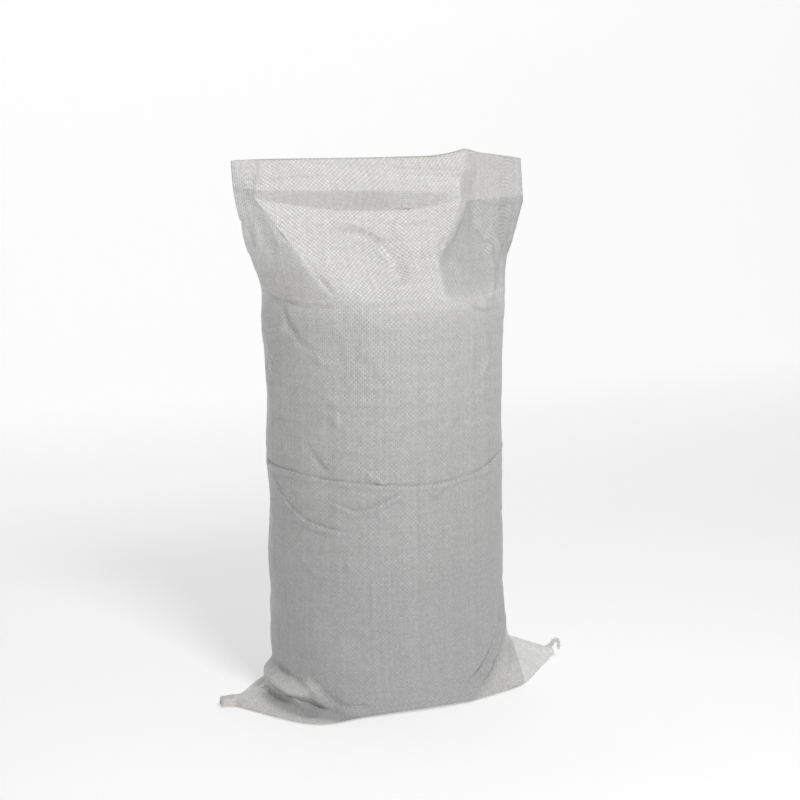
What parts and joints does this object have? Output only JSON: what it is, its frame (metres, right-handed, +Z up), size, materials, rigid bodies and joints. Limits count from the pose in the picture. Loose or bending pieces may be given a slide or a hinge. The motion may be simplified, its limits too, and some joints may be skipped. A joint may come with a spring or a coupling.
{
  "type": "filled woven cement sack",
  "caption": "Filled woven polypropylene cement sack standing on its sewn bottom, with flat corner ears and the mouth pressed closed above the fill.",
  "frame": {"origin": "on the floor, under the middle of the whole sack's box", "axes": "+X along the sack's flat width from the left ear to the right ear, -Y towards the front, +Z up to the mouth"},
  "size_m": [0.4908, 0.2529, 0.7215],
  "materials": {
    "woven_sack": "plain weave of flat polypropylene tapes, slightly glossy and translucent white",
    "cement_fill": "fine dull grey powder",
    "seam_thread": "twisted off-white sewing thread"
  },
  "bodies": {
    "root": {"woven_sack": "woven_sack", "cement_fill": "cement_fill", "seam_thread": "seam_thread"}
  },
  "joints": []
}
